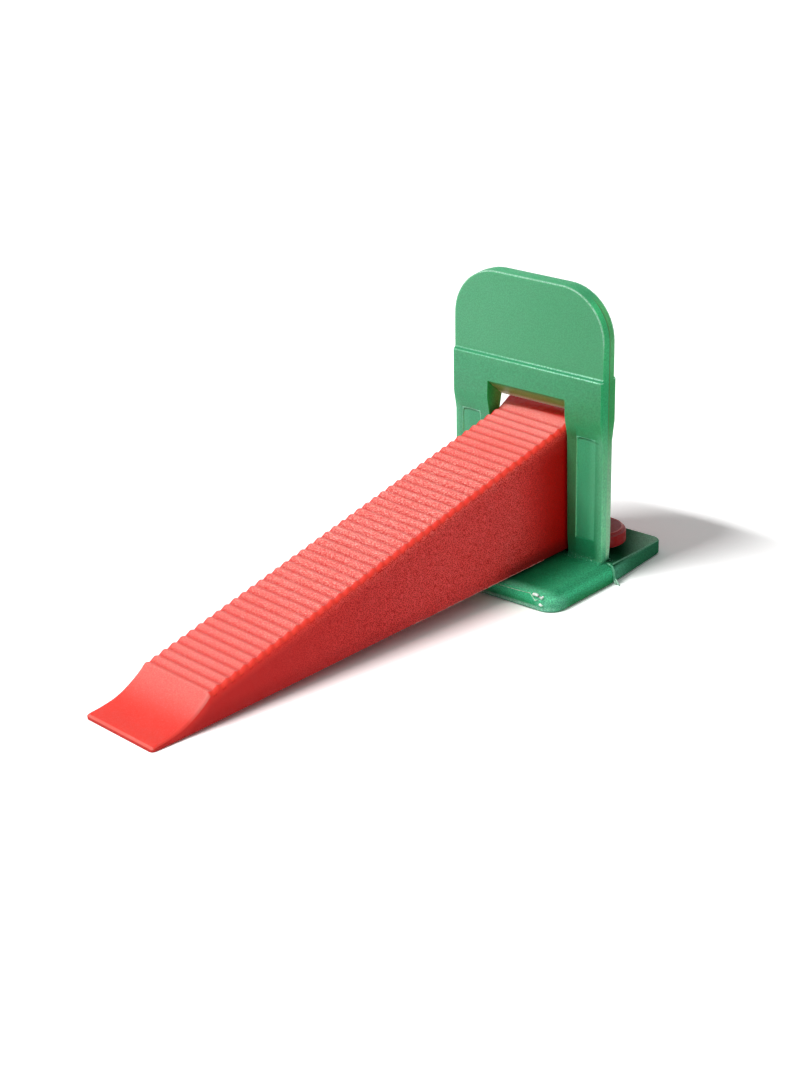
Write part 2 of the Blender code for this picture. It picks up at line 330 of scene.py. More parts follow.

# Greens of the upright, from the plate up, darker toward the plate partly with painted shade where
# the wedge and plate shade the foot: a coat is (share, shade), a stop (start, end, shade)
SHADED_ROOT_GREEN = (0.016, 0.245, 0.110)
UPRIGHT_GREENS = (
    (5.0, 10.0, (0.030, 0.295, 0.138)),
    (10.0, 16.0, (0.050, 0.350, 0.172)),
    (16.0, 22.0, (0.060, 0.390, 0.192)),
    (24.2, 25.4, (0.047, 0.385, 0.165)),
    (27.4, 29.0, (0.060, 0.390, 0.180)),
    (33.0, 36.5, (0.088, 0.425, 0.205)))
# painted shade toward the right, away from the lamp
PAINTED_RIGHT_SHADE = (0.70, 0.87, 0.79)
PANEL_COAT = (0.4, (0.07, 0.47, 0.235))
PANEL_BORDER_COAT = (0.35, (0.14, 0.66, 0.36))
PANEL_EDGE_SHARE = 0.8
PANEL_EDGE_LIGHT = (0.17, 0.70, 0.40)
LEFT_PANEL_EDGE_LIGHT = (0.34, 0.89, 0.59)
OUTER_HALF_COAT = (0.3, (0.16, 0.62, 0.34))
LEG_EDGE_COAT = (0.6, (0.16, 0.59, 0.32))
PAINTED_WEDGE_RED_LIGHT = (1.0, 0.62, 0.5)
ROOT_SPECKLE_COAT = (0.6, (0.25, 0.62, 0.42))

# Greens of its side faces, before and behind the parting line: painted shaded and lit copies,
# changing with height
SHADED_NEAR_FLANK = (0.10, 0.54, 0.27)
SHADED_NEAR_FLANK_GREENS = (
    (4.0, 8.0, (0.27, 0.80, 0.44)),
    (10.0, 20.0, (0.21, 0.68, 0.35)),
    (20.0, 30.0, (0.045, 0.53, 0.20)),
    (33.0, 38.0, (0.08, 0.64, 0.25)))
LIT_FAR_FLANK = (0.36, 0.80, 0.46)
LIT_FAR_FLANK_GREENS = (
    (12.0, 20.0, (0.28, 0.64, 0.36)),
    (20.0, 28.0, (0.045, 0.43, 0.115)),
    (33.0, 38.0, (0.13, 0.58, 0.21)))
PARTING_COAT = (0.6, (0.13, 0.08, 0.03))

# Greens of the window, the ledge and the head's outline, with painted bounce light, glow, shade and
# highlights
WINDOW_WALL = (0.03, 0.50, 0.12)
WINDOW_WALL_RED_BOUNCE = ((-1.5, 1.5, (0.15, 0.50, 0.09)),)
LINTEL_SHARE = 0.95
LINTEL_SHADE = (0.05, 0.36, 0.11)
LINTEL_GLOW = ((-1.9, -0.6, (0.20, 0.42, 0.10)), (0.5, 2.0, (0.85, 0.95, 0.65)))
LEDGE_SHADE_COAT = (0.6, (0.03, 0.25, 0.11))
LEDGE_HIGHLIGHT = (0.42, 0.88, 0.64)
OUTLINE_HIGHLIGHT = (0.5, (0.60, 0.95, 0.75))

# Greens of the plate, with painted shadow and reflection behind the legs, painted shade on the rim
# behind them and a painted highlight on the edge there
PLATE_MIDDLE = (0.0, 0.128, 0.044)
PLATE_SIDE_GREENS = ((8.5, 15.8, (0.028, 0.285, 0.132)),)
PLATE_FRONT_GREENS = ((-13.4, -15.4, (0.085, 0.46, 0.245)),)
PLATE_BEHIND_SHADOW = (0.0, 0.040, 0.012)
PLATE_BEHIND_REFLECTION = ((26.0, 38.0, (0.28, 0.56, 0.39)),)
RIM_LOW = (0.012, 0.27, 0.09)
RIM_GREENS = ((0.5, 2.2, (0.065, 0.60, 0.29)),)
RIM_FOOT = (0.26, 0.58, 0.42)
RIM_CORNER_COAT = (0.6, (0.20, 0.70, 0.45))
RIM_BEHIND_SHADE = (0.085, 0.36, 0.21)
RIM_BEHIND_SHADE_GREENS = ((1.0, 6.5, (0.035, 0.20, 0.10)),)
BROW_SHARE = 0.6
BROW_HIGHLIGHT = (0.20, 0.46, 0.31)
CLIP_CLOUD_COAT = (0.08, (0.12, 0.5, 0.27))


# Clip's look
def clip_places(look):
    """Places and directions on the clip, and the masks that its colours share."""
    at = SimpleNamespace()
    at.vector, (at.x, at.y, at.z) = look.place()
    nx, at.ny, at.nz = look.normal()
    at.side = look.absolute(at.x)
    at.depth = look.absolute(at.y)
    at.sideways = look.step(look.absolute(nx), 0.5, 0.8)
    at.facing = look.step(look.absolute(at.ny), 0.6, 0.9)
    at.front = look.step(at.y, 0.1, -0.1)
    at.upright = look.step(at.z, *PLATE_TO_UPRIGHT)
    at.legs = look.times(at.upright, look.step(at.z, *LEGS_END))
    at.dots = look.step(look.noise(at.vector, *CLIP_DOTS), 0.36, 0.58, 0.35, 1.0)
    return at


def panel_mask(look, at, grow):
    """1 on the legs' panels, taken larger all round by the width given."""
    wide = look.band(at.side, PANEL_SIDE, PANEL_HALF_WIDTH + grow, PANEL_FADE)
    high = look.band(at.z, PANEL_HEIGHT, PANEL_HALF_HEIGHT + grow, PANEL_FADE)
    return look.times(wide, high)


def leg_colour(look, at, colour):
    """Leg panels and outer edges, which are thin and pale, and painted red light from the wedge
    beside them.
    """
    panel = panel_mask(look, at, 0.0)
    around = panel_mask(look, at, PANEL_SLOPE)
    colour = look.lay(panel, colour, PANEL_COAT)
    border = look.times(look.minus(around, panel), look.step(at.z, *PANEL_BORDER_FROM))
    colour = look.lay(border, colour, PANEL_BORDER_COAT)
    # painted light on the panel slopes that face away from the lamp, evening out their shade
    left = look.times(look.step(at.x, 0.5, -0.5), at.front)
    top = look.band(at.z, PANEL_TOP_EDGE, 0.12, PANEL_EDGE_FADE)
    inner = look.band(at.side, PANEL_INNER_EDGE, 0.07, PANEL_EDGE_FADE)
    outer = look.band(at.side, PANEL_OUTER_EDGE, 0.07, PANEL_EDGE_FADE)
    dim = look.larger(look.larger(top, inner), look.times(outer, left))
    edge_light_coat = (PANEL_EDGE_SHARE, look.mix(left, PANEL_EDGE_LIGHT, LEFT_PANEL_EDGE_LIGHT))
    colour = look.lay(look.times(around, dim), colour, edge_light_coat)
    outer_half = look.times(panel, look.step(at.side, *OUTER_HALF))
    colour = look.lay(outer_half, colour, OUTER_HALF_COAT)
    outer_edge = look.times(look.step(at.side, *LEG_EDGE), at.legs)
    colour = look.lay(outer_edge, colour, LEG_EDGE_COAT)
    # painted red light on the right leg's inner face, from the wedge beside it
    outer_end, inner_end = [look.step(at.x, *span) for span in BESIDE_WEDGE]
    beside_wedge = look.times(outer_end, inner_end, at.legs)
    beside_wedge = look.times(beside_wedge, look.step(at.z, 3.5, 8.5, 0.35, 1.0))
    return look.mix(beside_wedge, colour, PAINTED_WEDGE_RED_LIGHT, "MULTIPLY")


def flank_colour(look, at, colour):
    """Side faces: painted light and shade, a lit paler half behind the parting line and a shaded half
    before it, both changing with height; the line is dark on the band and head.
    """
    flank = look.times(at.sideways, look.step(at.side, 6.0, 9.0), look.step(at.z, *FLANK_FROM))
    shaded_half = look.blend(at.z, SHADED_NEAR_FLANK, SHADED_NEAR_FLANK_GREENS)
    lit_half = look.blend(at.z, LIT_FAR_FLANK, LIT_FAR_FLANK_GREENS)
    colour = look.mix(flank, colour, look.mix(at.front, lit_half, shaded_half))
    high = look.times(flank, look.step(at.z, *PARTING_FROM))
    return look.lay(look.times(look.band(at.y, *PARTING), high), colour, PARTING_COAT)


def window_colour(look, at, colour):
    """Side walls of the window, painted olive toward the back as red light bounced off the wedge."""
    wall = look.times(at.sideways, look.step(at.side, *WINDOW_SIDE), at.upright)
    return look.mix(wall, colour, look.blend(at.y, WINDOW_WALL, WINDOW_WALL_RED_BOUNCE))


def lintel_colour(look, at, colour):
    """Lintel: painted shade under the band, then a painted glow toward its thin working edge, as red
    light from the wedge and light through the thin plastic.
    """
    under = look.step(at.nz, -0.4, -0.6)
    lintel = look.times(under, look.band(at.z, *LINTEL))
    coat = (LINTEL_SHARE, look.blend(at.y, LINTEL_SHADE, LINTEL_GLOW))
    return look.lay(lintel, colour, coat)


def ledge_colour(look, at, colour):
    """Ledge above the band: painted shade on its chamfer, with dotted painted highlights along its
    two edges.
    """
    ledge = look.times(look.band(at.z, *LEDGE), look.step(at.nz, 0.3, 0.6))
    colour = look.lay(ledge, colour, LEDGE_SHADE_COAT)
    below, above = [look.band(at.z, *line) for line in LEDGE_HIGHLIGHT_LINES]
    highlight_lines = look.times(look.plus(below, above), at.dots, look.step(at.depth, 1.3, 1.45))
    highlight_lines = look.times(highlight_lines, look.step(at.x, -16.0, 12.0, 0.35, 0.9))
    return look.mix(highlight_lines, colour, LEDGE_HIGHLIGHT)


def head_outline(look, at):
    """Mask of the corner where the head's face meets its rounded edge."""
    out_x = look.larger(look.minus(at.side, HEAD_CORNER[0]), 0.0)
    out_z = look.larger(look.minus(at.z, HEAD_CORNER[1]), 0.0)
    ring = look.band(look.length(out_x, out_z), HEAD_OUTLINE, 0.06, 0.07)
    return look.times(ring, look.step(at.depth, 1.15, 1.3), look.step(at.z, 38.0, 43.0))


def plate_colour(look, at):
    """Plate: deep in the middle, light at its front and right edges."""
    plate = look.blend(at.side, PLATE_MIDDLE, PLATE_SIDE_GREENS)
    plate = look.blend(at.y, plate, PLATE_FRONT_GREENS)
    # behind the legs: painted shadow of the head, near black by the legs, with a painted reflection
    # that grows toward the back
    far = look.plus(at.depth, look.times(at.side, 1.5))
    plate = look.mix(at.front, look.blend(far, PLATE_BEHIND_SHADOW, PLATE_BEHIND_REFLECTION), plate)
    bright = look.blend(at.z, RIM_LOW, RIM_GREENS)
    foot = look.times(look.step(at.ny, -0.5, -0.8), look.step(at.z, 1.1, 0.6))
    bright = look.mix(foot, bright, RIM_FOOT)
    corner = look.times(look.step(at.y, -11.0, -14.5), look.step(at.side, 11.5, 14.5))
    bright = look.lay(corner, bright, RIM_CORNER_COAT)
    # the rim behind the legs is painted in the head's shade
    behind = look.blend(at.y, RIM_BEHIND_SHADE, RIM_BEHIND_SHADE_GREENS)
    rim = look.times(look.step(at.z, 3.4, 2.4), look.step(at.nz, 0.9, 0.4))
    plate = look.mix(rim, plate, look.mix(at.front, behind, bright))
    # painted highlight on the rounded edge behind the legs, lighter than its rim
    brow = look.times(look.band(at.nz, 0.7, 0.18, 0.12), look.step(at.z, 1.8, 2.2))
    brow = look.times(brow, look.step(at.side, 14.0, 14.6))
    share = look.minus(BROW_SHARE, look.times(at.front, BROW_SHARE))
    return look.mix(look.times(brow, share), plate, BROW_HIGHLIGHT)


def clip_look():
    """Translucent green: deep in the plate, paler up the legs and where the plastic is thin, with
    painted light and shade laid over it.
    """
    look = Look("clip_plastic_look")
    at = clip_places(look)
    # greens up the upright, partly painted shade toward the foot
    colour = look.blend(at.z, SHADED_ROOT_GREEN, UPRIGHT_GREENS)
    # painted shade, deepening toward the right, away from the lamp
    colour = look.mix(look.step(at.x, -15.0, 15.0), colour, PAINTED_RIGHT_SHADE, "MULTIPLY")
    colour = leg_colour(look, at, colour)
    colour = flank_colour(look, at, colour)
    colour = window_colour(look, at, colour)
    colour = ledge_colour(look, at, colour)
    outline = head_outline(look, at)
    # painted highlight, dotted, along the head's outline
    colour = look.lay(look.times(outline, at.dots), colour, OUTLINE_HIGHLIGHT)
    colour = lintel_colour(look, at, colour)
    colour = look.mix(at.upright, plate_colour(look, at), colour)
    colour = look.clouded(at.vector, CLIP_CLOUDS, colour, CLIP_CLOUD_COAT)
    # fine grain, stronger on the plate
    grain = look.noise(at.vector, *CLIP_GRAIN)
    even = look.step(at.upright, 0.0, 1.0, 0.25, 0.13)
    swing = look.times(look.step(grain, *FLECK_SPAN, -1.0, 1.0), even)
    colour = look.mix(1.0, colour, look.plus(1.0, swing), "MULTIPLY")
    # speckle where the leg meets the plate
    speck = look.step(look.noise(at.vector, *CLIP_SPECKLE), 0.58, 0.68)
    root = look.times(look.band(at.z, 3.8, 0.35, 0.3), look.step(at.depth, 2.0, 1.4))
    colour = look.lay(look.times(root, speck), colour, ROOT_SPECKLE_COAT)
    look.set("Base Color", colour)
    smear = look.step(look.noise(at.vector, *CLIP_SMEAR), 0.35, 0.7)
    look.set("Roughness", look.plus(CLIP_ROUGHNESS, look.times(smear, CLIP_SMEAR_ROUGHNESS)))
    gloss = look.times(at.facing, at.upright, CLIP_FACE_GLOSS)
    sheen = look.times(look.larger(at.upright, at.front), CLIP_SHEEN)
    look.set("Specular IOR Level", look.plus(sheen, gloss))
    look.set("Coat Weight", look.plus(gloss, look.times(outline, CLIP_OUTLINE_GLOSS)))
    look.set_all(CLIP_PLASTIC)
    look.bump((grain, 0.012, 0.5), (look.noise(at.vector, *CLIP_WAVES), 0.05, 0.35))
    return look.material


# Reds of the wedge's top, with painted sheen, light under the lintel, shade in the grooves,
# highlights and glints
BODY_RED = (0.74, 0.022, 0.016)
NOSE_RED = (0.88, 0.050, 0.034)
PAINTED_TOP_SHEEN = ((0.86, 0.14, 0.12), (0.89, 0.19, 0.16))
UNDER_LINTEL_LIGHT_COAT = (0.5, (0.97, 0.30, 0.27))
GROOVE_SHADE_COAT = (0.5, (0.66, 0.016, 0.012))
CREST_HIGHLIGHT_COAT = (0.2, (1.0, 0.30, 0.26))
TOP_FLECKS = ((0.86, 0.45, 0.45), (1.05, 1.7, 1.7))
GLINT_COAT = (0.7, (1.0, 0.6, 0.54))
HEEL_RED = (0.80, 0.040, 0.032)

# Reds of its edges, flanks, lip and heel stop, with painted light, glow, shade and highlights
LIT_TOOTH_END_RED = (0.96, 0.060, 0.034)
LIT_NOSE_EDGE = (1.0, 0.075, 0.055)
NOSE_EDGE_HIGHLIGHT = ((6.0, 11.0, (1.0, 0.24, 0.21)),)
FLANK_RED = (0.77, 0.027, 0.025)
FLANK_LIGHT_AND_SHADE = ((40.0, 62.0, (0.90, 0.035, 0.032)), (74.0, 85.0, (0.60, 0.002, 0.001)))
FLANK_HIGH_GLOW = (0.80, 0.028, 0.024)
FLANK_TOP_GLOW = (0.99, 0.055, 0.045)
FLANK_CONTACT_SHADOW = (0.25, 0.002, 0.002)
FLANK_FLECK_SHARE = 0.8
FLANK_FLECKS = ((0.58, 0.0, 0.0), (1.45, 4.0, 4.0))
SCALLOP_SHADE_COAT = (0.55, (0.45, 0.006, 0.005))
LIP_UNDERCUT_SHADE = (0.66, 0.03, 0.022)
LIP_FACET_HIGHLIGHT = ((0.28, 0.45, (0.93, 0.15, 0.12)),)
LOBE_SHADED_RED = (0.27, 0.003, 0.003)
LOBE_TOP_SHADED_RED = (0.30, 0.045, 0.05)
LOBE_RIM_HIGHLIGHT = (0.8, (0.60, 0.20, 0.20))
WEDGE_CLOUD_COAT = (0.08, (0.7, 0.02, 0.02))


# Wedge's look
def wedge_places(look):
    """Places in the wedge's own directions, in millimetres, and the masks its colours share."""
    at = SimpleNamespace()
    at.vector, (x, y, z) = look.place()
    nx, ny, at.nz = look.normal()
    at.across = look.turn(nx, ny, WEDGE_YAW)[0]
    dx = look.minus(x, WEDGE_TIP[0])
    dy = look.minus(y, WEDGE_TIP[1])
    at.aside, level = look.turn(dx, dy, WEDGE_YAW)
    at.along, at.up = look.turn(level, z, WEDGE_TILT)
    over = look.minus(at.along, FIRST_CREST[0])
    rise = look.minus(at.up, FIRST_CREST[1])
    at.run = look.turn(over, rise, INCLINE)[0]
    at.phase = look.math("FRACT", look.math("DIVIDE", at.run, PITCH))
    # depth below the line of the crests, or below the hollow nose
    line = look.plus(FIRST_CREST[1], look.times(over, tan(INCLINE)))
    nose = look.minus(at.along, NOSE_CENTRE[0])
    inside = look.larger(look.minus(NOSE_RADIUS ** 2, look.times(nose, nose)), 0.0)
    arc = look.minus(NOSE_CENTRE[1], look.math("SQRT", inside))
    at.teeth = look.step(over, *TEETH_START)
    roof = look.plus(arc, look.times(look.minus(line, arc), at.teeth))
    at.sink = look.minus(roof, at.up)
    # rounded where the surface begins to face sideways, a wall where it fully does
    at.rounded = look.step(look.absolute(at.across), 0.12, 0.45)
    at.wall = look.step(look.absolute(at.across), 0.85, 0.97)
    at.top = look.times(look.step(at.nz, 0.3, 0.8), look.minus(1.0, at.rounded))
    at.toothed = look.times(look.step(at.run, -0.6, 0.0), look.step(at.along, *TEETH_END))
    return at


def top_colour(look, at, grain):
    """Top: a painted sheen, pale and flecked, over the teeth, smooth on the lower nose, and painted
    light on the ramp under the lintel, lifting its shadow.
    """
    painted_sheen = look.mix(look.step(at.along, *SMOOTH_NOSE), NOSE_RED, look.flecks(grain, *PAINTED_TOP_SHEEN))
    colour = look.mix(at.top, BODY_RED, painted_sheen)
    # painted light on the ramp under the lintel, lifting the lintel's shadow
    lit_under_lintel = look.times(at.top, look.step(at.along, *UNDER_LINTEL_FROM))
    colour = look.lay(lit_under_lintel, colour, UNDER_LINTEL_LIGHT_COAT)
    # painted shade in the grooves, painted highlights on the crests and painted glints as bright
    # sparks
    groove = look.times(look.band(at.phase, GROOVE_PHASE, 0.05, 0.2), at.toothed)
    colour = look.lay(groove, colour, GROOVE_SHADE_COAT)
    crest = look.times(look.band(at.phase, CREST_PHASE, 0.08, 0.2), at.toothed, at.top)
    colour = look.lay(crest, colour, CREST_HIGHLIGHT_COAT)
    vivid = look.times(look.step(at.along, 16.0, 50.0, 0.1, 1.0),
                       look.step(at.along, 66.0, 80.0, 1.0, 0.2))
    speckled = look.flecks(grain, *TOP_FLECKS)
    colour = look.mix(look.times(vivid, at.top, at.toothed), colour, speckled, "MULTIPLY")
    # painted glints, as bright sparks on the top
    spark = look.step(look.noise(at.vector, *WEDGE_GLINTS), 0.62, 0.7)
    colour = look.lay(look.times(spark, at.top, vivid), colour, GLINT_COAT)
    return look.mix(look.step(at.along, *HEEL_FROM), colour, HEEL_RED)


def edge_colour(look, at, colour):
    """Rounded tooth ends and the nose's bare edge: smooth, saturated and painted bright, as the light
    they catch and that glows through them, with a painted highlight near the first tooth.
    """
    rounded = look.times(at.rounded, look.step(at.nz, 0.12, 0.4))
    ends = look.times(rounded, look.step(at.across, -1.1, 1.0), at.teeth)
    colour = look.mix(ends, colour, LIT_TOOTH_END_RED)
    bare = look.times(rounded, look.minus(1.0, at.teeth))
    return look.mix(bare, colour, look.blend(at.along, LIT_NOSE_EDGE, NOSE_EDGE_HIGHLIGHT))


def wall_colour(look, at):
    """Side walls: bright under the teeth with painted glow, deep toward the heel and the floor with
    painted shade and contact shadow.
    """
    wall = look.blend(at.along, FLANK_RED, FLANK_LIGHT_AND_SHADE)
    # painted glow of light through the plastic under the top edge
    wall = look.mix(look.step(at.sink, 5.0, 0.5, 0.0, 0.6), wall, FLANK_HIGH_GLOW)
    wall = look.mix(look.step(at.sink, 2.4, 0.6), wall, FLANK_TOP_GLOW)
    # painted contact shadow near the floor, toward the heel
    low = look.times(look.step(at.up, 2.8, 0.6), look.step(at.along, 64.0, 80.0, 0.25, 0.75))
    wall = look.mix(low, wall, FLANK_CONTACT_SHADOW)
    vivid = look.times(look.step(at.along, 14.0, 55.0), look.step(at.along, 74.0, 87.0, 1.0, 0.35))
    flecks = look.flecks(look.noise(at.vector, *WALL_GRAIN), *FLANK_FLECKS)
    wall = look.mix(look.times(vivid, FLANK_FLECK_SHARE), wall, flecks, "MULTIPLY")
    # the grooves' painted shade runs out over the edge as soft scallops
    scallop = look.times(look.band(at.phase, GROOVE_PHASE, 0.08, 0.2), look.step(at.sink, 1.25, 0.75))
    return look.lay(look.times(scallop, at.toothed), wall, SCALLOP_SHADE_COAT)


def stop_colour(look, at, colour):
    """Lobes of the heel stop: plain and deep with painted shade of the upright, with a painted
    highlight on the rim round the raised top.
    """
    lobe = look.step(look.absolute(at.aside), *STOP_INSIDE)
    level_top = look.step(at.nz, 0.5, 0.9)
    colour = look.mix(lobe, colour, look.mix(level_top, LOBE_SHADED_RED, LOBE_TOP_SHADED_RED))
    out = look.minus(look.absolute(at.aside), STOP_CENTRE[0])
    back = look.minus(at.along, STOP_CENTRE[1])
    ring = look.band(look.length(out, back), STOP_RIM_RADIUS, 0.12, 0.1)
    return look.lay(look.times(ring, look.times(lobe, level_top)), colour, LOBE_RIM_HIGHLIGHT)


def wedge_look():
    """Red with spark-eroded grain: a painted sheen on top, saturated and painted bright at the edges,
    deep on the flanks with painted glow and shade.
    """
    look = Look("wedge_plastic_look")
    at = wedge_places(look)
    grain = look.noise(at.vector, *WEDGE_GRAIN)
    coarse = look.noise(at.vector, *WEDGE_COARSE)
    colour = top_colour(look, at, grain)
    colour = edge_colour(look, at, colour)
    colour = look.mix(at.wall, colour, wall_colour(look, at))
    # lip: a painted highlight on its upper facet over painted shade on the deeper undercut
    lip = look.step(at.along, *LIP_END)
    colour = look.mix(lip, colour, look.blend(at.up, LIP_UNDERCUT_SHADE, LIP_FACET_HIGHLIGHT))
    colour = stop_colour(look, at, colour)
    look.set("Base Color", look.clouded(at.vector, WEDGE_CLOUDS, colour, WEDGE_CLOUD_COAT))
    look.set("Roughness", look.step(coarse, 0.3, 0.7, *WEDGE_ROUGHNESS))
    look.set("Specular IOR Level", look.step(at.wall, 0.0, 1.0, *WEDGE_SPECULAR))
    look.set_all(WEDGE_PLASTIC)
    look.bump((grain, 0.045, 0.6), (coarse, 0.06, 0.35))
    return look.material


# Looks of the flash
def skin_look(name, colours, patch_size, roughness):
    """Thin skin or string of plastic, patchy between two colours and two roughnesses."""
    look = Look(name)
    vector = look.place()[0]
    patch = look.step(look.noise(vector, patch_size, 2.0), 0.35, 0.65)
    look.set("Base Color", look.mix(patch, *colours))
    look.set("Roughness", look.step(patch, 0.0, 1.0, *roughness))
    look.bump((look.noise(vector, *SKIN_WAVES), 0.03, 0.5))
    return look.material


def clip_skin(name, *colours):
    return skin_look(name, colours, 0.6, (0.18, 0.35))


def wedge_skin(name, *colours):
    return skin_look(name, colours, 0.8, (0.25, 0.45))


# Stage
def shown_ray(tree):
    """1 for the rays that show the background: from the camera, off a gloss or through glass."""
    path = tree.nodes.new("ShaderNodeLightPath")
    shown = path.outputs["Is Camera Ray"]
    for kind in ("Is Glossy Ray", "Is Transmission Ray"):
        larger = tree.nodes.new("ShaderNodeMath")
        larger.operation = "MAXIMUM"
        tree.links.new(shown, larger.inputs[0])
        tree.links.new(path.outputs[kind], larger.inputs[1])
        shown = larger.outputs[0]
    return shown


def make_floor():
    bpy.ops.mesh.primitive_plane_add(size=FLOOR_SIZE)
    floor = bpy.context.object
    floor.name = "floor"
    look = Look("floor_look")
    look.set("Roughness", FLOOR_ROUGHNESS)
    look.set("Specular IOR Level", FLOOR_SPECULAR)
    look.set("Base Color", look.mix(shown_ray(look.tree), (FLOOR_GREY,) * 3, (FLOOR_SHOWN,) * 3))
    floor.data.materials.append(look.material)


def make_world():
    """Sky that is brighter overhead, shown as plain white."""
    world = bpy.data.worlds.new("studio")
    world.use_nodes = True
    nodes = world.node_tree.nodes
    links = world.node_tree.links
    sky = nodes["Background"]
    sky.inputs["Color"].default_value = WHITE
    split = nodes.new("ShaderNodeSeparateXYZ")
    height = nodes.new("ShaderNodeMapRange")
    height.inputs["To Min"].default_value = SKY_LOW
    height.inputs["To Max"].default_value = SKY_TOP
    links.new(nodes.new("ShaderNodeTexCoord").outputs["Generated"], split.inputs[0])
    links.new(split.outputs["Z"], height.inputs["Value"])
    links.new(height.outputs[0], sky.inputs["Strength"])
    backdrop = nodes.new("ShaderNodeBackground")
    backdrop.inputs["Color"].default_value = WHITE
    backdrop.inputs["Strength"].default_value = 1.0
    choose = nodes.new("ShaderNodeMixShader")
    links.new(shown_ray(world.node_tree), choose.inputs[0])
    links.new(sky.outputs[0], choose.inputs[1])
    links.new(backdrop.outputs[0], choose.inputs[2])
    links.new(choose.outputs[0], nodes["World Output"].inputs["Surface"])
    bpy.context.scene.world = world


def make_key():
    """Softbox, long side along X, that lights a white face turned to it to KEY_LEVEL."""
    data = bpy.data.lights.new("key", "AREA")
    data.shape = "RECTANGLE"
    data.size, data.size_y = KEY_SIZE
    data.energy = KEY_LEVEL * (pi * KEY_DISTANCE) ** 2
    lamp = bpy.data.objects.new("key", data)
    bpy.context.scene.collection.objects.link(lamp)
    away = Vector(KEY_FROM).normalized()
    along = (Vector((1.0, 0.0, 0.0)) - away * away.x).normalized()
    axes = Matrix((along, away.cross(along), away)).transposed().to_4x4()
    axes.translation = away * KEY_DISTANCE
    lamp.matrix_world = axes


# Edge softening
def smooth_group():
    """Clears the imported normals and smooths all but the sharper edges."""
    group = bpy.data.node_groups.new("soft_normals", "GeometryNodeTree")
    group.interface.new_socket("Mesh", in_out="INPUT", socket_type="NodeSocketGeometry")
    group.interface.new_socket("Mesh", in_out="OUTPUT", socket_type="NodeSocketGeometry")
    nodes = group.nodes
    source = nodes.new("NodeGroupInput")
    target = nodes.new("NodeGroupOutput")
    normals = nodes.new("GeometryNodeSetMeshNormal")
    normals.mode = "SHARPNESS"
    angle = nodes.new("GeometryNodeInputMeshEdgeAngle")
    compare = nodes.new("FunctionNodeCompare")
    compare.data_type = "FLOAT"
    compare.operation = "GREATER_THAN"
    compare.inputs[1].default_value = SHARP_FROM
    links = group.links
    links.new(angle.outputs["Unsigned Angle"], compare.inputs[0])
    links.new(source.outputs[0], normals.inputs["Mesh"])
    links.new(compare.outputs[0], normals.inputs["Edge Sharpness"])
    links.new(normals.outputs[0], target.inputs[0])
    return group


def soften(thing, width, group):
    weld = thing.modifiers.new("weld", "WELD")
    weld.merge_threshold = WELD_WITHIN * MM
    bevel = thing.modifiers.new("edges", "BEVEL")
    bevel.width = width * MM
    bevel.segments = EDGE_SEGMENTS
    bevel.limit_method = "ANGLE"
    bevel.angle_limit = ROUNDED_FROM
    smooth = thing.modifiers.new("smooth", "NODES")
    smooth.node_group = group
    weighted = thing.modifiers.new("weighted", "WEIGHTED_NORMAL")
    weighted.keep_sharp = True


def dress(name, material):
    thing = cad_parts[name]
    for slot in thing.material_slots:
        slot.link = "OBJECT"
        slot.material = material


# Skin on the plate's right rim, in millimetres: (x, z) of its root and of its own rim
PLATE_FLASH = (
    ((14.4, 3.5), (14.5, 3.66)), ((15.3, 3.3), (15.5, 3.5)), ((16.1, 2.9), (16.5, 3.2)),
    ((16.4, 2.2), (16.85, 2.5)), ((16.4, 1.5), (17.0, 1.5)), ((16.4, 1.0), (16.9, 0.9)),
    ((16.4, 0.6), (16.6, 0.45)))
PLATE_FLASH_WAVE = 0.03
PLATE_FLASH_THICK = 0.12

# Ragged seam along the plate's front, which rises over its last stretch
SEAM_START = 3.2
SEAM_LENGTH = 8.5
SEAM_STEPS = 26
SEAM_ROOT = -15.97
SEAM_RIM = -16.06
SEAM_HEIGHT = 2.62
SEAM_RISE = 0.16
SEAM_RISES_FROM = 0.6
SEAM_LIFT = 0.03
SEAM_UNEVEN_UP = 0.08
SEAM_UNEVEN_OUT = 0.06
SEAM_SHIFT = 5
SEAM_THICK = 0.11

# Strings and torn bits on the clip: places along each one, with its radius there
BURRS = {
    "plate_burr": (
        ((17.0, 0.0, 1.15), 0.05), ((17.15, 0.0, 0.95), 0.12), ((17.4, 0.0, 0.6), 0.13),
        ((17.65, 0.0, 0.25), 0.13), ((17.9, 0.0, 0.1), 0.06)),
    "plate_burr_low": (
        ((16.8, 0.0, 0.75), 0.05), ((16.92, 0.0, 0.5), 0.12), ((17.15, 0.0, 0.2), 0.1),
        ((17.25, 0.0, 0.1), 0.05))}
NICK_CURL = (
    ((12.05, -16.0, 2.72), 0.09), ((12.3, -16.08, 2.86), 0.23), ((12.8, -16.12, 2.95), 0.26),
    ((13.2, -16.1, 2.9), 0.24), ((13.45, -16.06, 2.7), 0.2), ((13.52, -16.0, 2.52), 0.08))
NICK_BEAD = (
    ((13.7, -15.98, 2.45), 0.08), ((13.85, -16.07, 2.6), 0.29), ((14.08, -16.03, 2.76), 0.2),
    ((14.2, -15.97, 2.95), 0.08))
NICK_TAB = (
    ((11.65, -15.98, 2.72), 0.05), ((12.25, -16.04, 2.14), 0.1), ((12.65, -16.06, 1.82), 0.13),
    ((13.04, -16.04, 2.08), 0.09), ((13.32, -16.0, 1.93), 0.06))
NICK_LOW = (
    ((13.38, -15.97, 1.55), 0.06), ((13.5, -16.05, 1.4), 0.23), ((13.8, -16.05, 1.28), 0.23),
    ((14.1, -15.98, 1.28), 0.07))
STRAND_SIDES = 8

